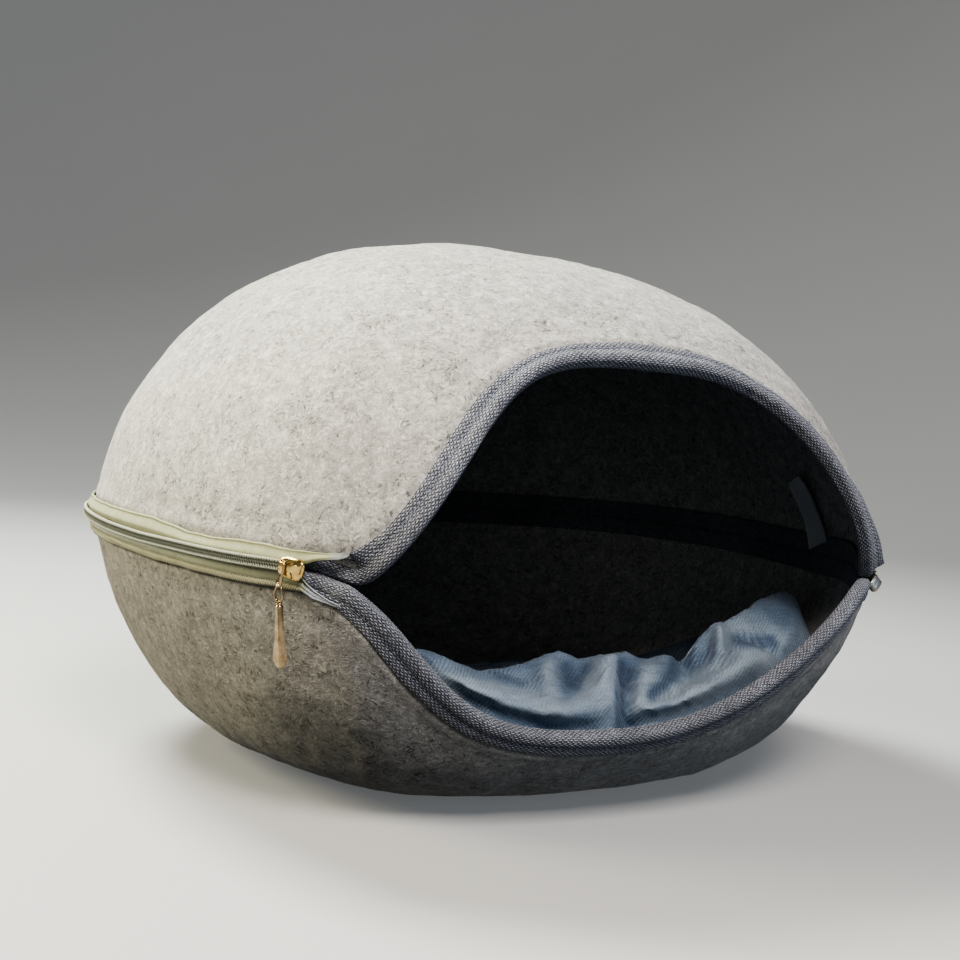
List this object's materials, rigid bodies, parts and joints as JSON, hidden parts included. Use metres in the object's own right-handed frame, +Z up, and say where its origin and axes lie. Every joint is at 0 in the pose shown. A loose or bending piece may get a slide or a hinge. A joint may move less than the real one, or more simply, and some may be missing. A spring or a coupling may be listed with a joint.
{
  "type": "felt pet hideout",
  "caption": "Egg-shaped felt pet hideout: bound half shells zipped round the back, a leaf-shaped doorway at the front and a slack cushion lying inside.",
  "frame": {"origin": "on the floor under the middle of the object's outer box, which is on the flat base", "axes": "+Z up, -Y out through the doorway, +X to the right of someone who looks in from the front"},
  "size_m": [0.4513, 0.4021, 0.3046],
  "materials": {
    "felt": "dense moulded wool felt, heather grey, faintly fuzzy",
    "webbing": "woven herringbone binding, slate blue with pale flecks",
    "tape": "woven zip tape, pale sage",
    "coil": "nylon coil, sage grey",
    "gold": "polished pale gold plating",
    "clip": "bright stamped clip",
    "twill": "washed denim-blue twill with a soft sheen",
    "tab": "bare woven tab, charcoal"
  },
  "bodies": {
    "root": {"shell_upper": "felt", "shell_lower": "felt", "binding_upper": "webbing", "binding_lower": "webbing", "zip_tape_upper": "tape", "zip_tape_lower": "tape", "zip_coil_upper": "coil", "zip_coil_lower": "coil", "zip_slider": "gold", "zip_pull": "gold", "zip_stop": "clip", "label_inside": "tab", "cushion": "twill"}
  },
  "joints": []
}
